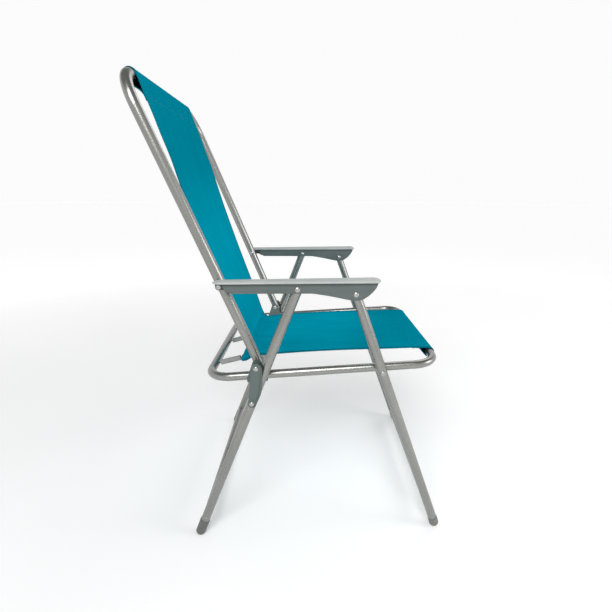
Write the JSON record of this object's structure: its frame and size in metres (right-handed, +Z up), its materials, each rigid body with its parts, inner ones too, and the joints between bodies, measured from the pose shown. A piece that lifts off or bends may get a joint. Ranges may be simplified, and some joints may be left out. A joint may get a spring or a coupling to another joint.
{
  "type": "folding beach chair",
  "caption": "Folding beach chair with a bent tube frame, a stretched fabric seat and high back, flat plastic armrests and crossed-over folding legs.",
  "frame": {"origin": "middle of the footprint, on the floor", "axes": "+X is the way the sitter faces, +Y is the sitter's left, +Z is up"},
  "size_m": [0.688, 0.568, 1.0634],
  "materials": {
    "tube": "satin silver-grey coating",
    "sling_fabric": "teal woven mesh",
    "arm_plastic": "fine grained mid grey",
    "plate": "satin grey pressed sheet",
    "rivet": "bright",
    "dark_plastic": "black",
    "front_cap": "warm grey",
    "rear_cap": "dark grey",
    "sleeve_grey": "grey sleeve",
    "hook_wire": "dark wire"
  },
  "bodies": {
    "back_frame": {"back_frame_tube": "tube", "back_tube_plugs": "dark_plastic", "back_sling": "sling_fabric", "arm_back_rivets": "rivet", "seat_back_rivets": "rivet", "link_spacers": "plate"},
    "seat": {"seat_frame_tube": "tube", "seat_sling": "sling_fabric", "crease_rod": "tube", "tensioner_sleeves": "sleeve_grey", "tensioner_hooks": "hook_wire", "seat_bracket_right": "plate", "seat_bracket_left": "plate"},
    "armrest_right": {"armrest_right": "arm_plastic", "arm_hinge_block_right": "dark_plastic"},
    "armrest_left": {"armrest_left": "arm_plastic", "arm_hinge_block_left": "dark_plastic"},
    "front_legs": {"front_leg_right": "tube", "front_leg_left": "tube", "front_crossbar": "tube", "front_foot_right": "front_cap", "front_foot_left": "front_cap", "arm_front_rivets": "rivet", "seat_front_rivets": "rivet", "seat_front_spacers": "dark_plastic", "front_leg_stop_rivets": "rivet"},
    "rear_legs": {"rear_leg_right": "tube", "rear_leg_left": "tube", "rear_crossbar": "tube", "rear_foot_right": "rear_cap", "rear_foot_left": "rear_cap", "arm_mid_rivets": "rivet", "rear_crossbar_rivets": "rivet"},
    "link_right": {"link_right": "plate", "link_pin_right": "rivet"},
    "link_left": {"link_left": "plate", "link_pin_left": "rivet"}
  },
  "joints": [
    {"name": "seat_fold", "type": "hinge", "parent": "back_frame", "child": "seat", "pos_m": [-0.10942, 0, 0.465], "axis": [0, -1, 0], "range_deg": [0, 92]},
    {"name": "armrest_right_fold", "type": "hinge", "parent": "back_frame", "child": "armrest_right", "pos_m": [-0.17542, 0, 0.649], "axis": [0, -1, 0], "range_deg": [0, 92]},
    {"name": "armrest_left_fold", "type": "hinge", "parent": "back_frame", "child": "armrest_left", "pos_m": [-0.17542, 0, 0.649], "axis": [0, -1, 0], "range_deg": [0, 92]},
    {"name": "front_legs_fold", "type": "hinge", "parent": "armrest_right", "child": "front_legs", "pos_m": [0.10908, 0, 0.631], "axis": [0, -1, 0], "range_deg": [-92, 0]},
    {"name": "rear_legs_fold", "type": "hinge", "parent": "armrest_right", "child": "rear_legs", "pos_m": [-0.01342, 0, 0.6425], "axis": [0, -1, 0], "range_deg": [-48.25, 0]},
    {"name": "link_right_swing", "type": "hinge", "parent": "back_frame", "child": "link_right", "pos_m": [-0.10942, 0, 0.465], "axis": [0, -1, 0], "range_deg": [0, 163.2]},
    {"name": "link_left_swing", "type": "hinge", "parent": "back_frame", "child": "link_left", "pos_m": [-0.10942, 0, 0.465], "axis": [0, -1, 0], "range_deg": [0, 163.2]}
  ],
  "couplings": [
    {"joint": "armrest_right_fold", "follows": "seat_fold", "ratio": 1},
    {"joint": "armrest_left_fold", "follows": "seat_fold", "ratio": 1},
    {"joint": "front_legs_fold", "follows": "seat_fold", "ratio": -1},
    {"joint": "rear_legs_fold", "follows": "seat_fold", "ratio": -0.5239},
    {"joint": "link_right_swing", "follows": "seat_fold", "ratio": 1.7728},
    {"joint": "link_left_swing", "follows": "seat_fold", "ratio": 1.7728}
  ]
}
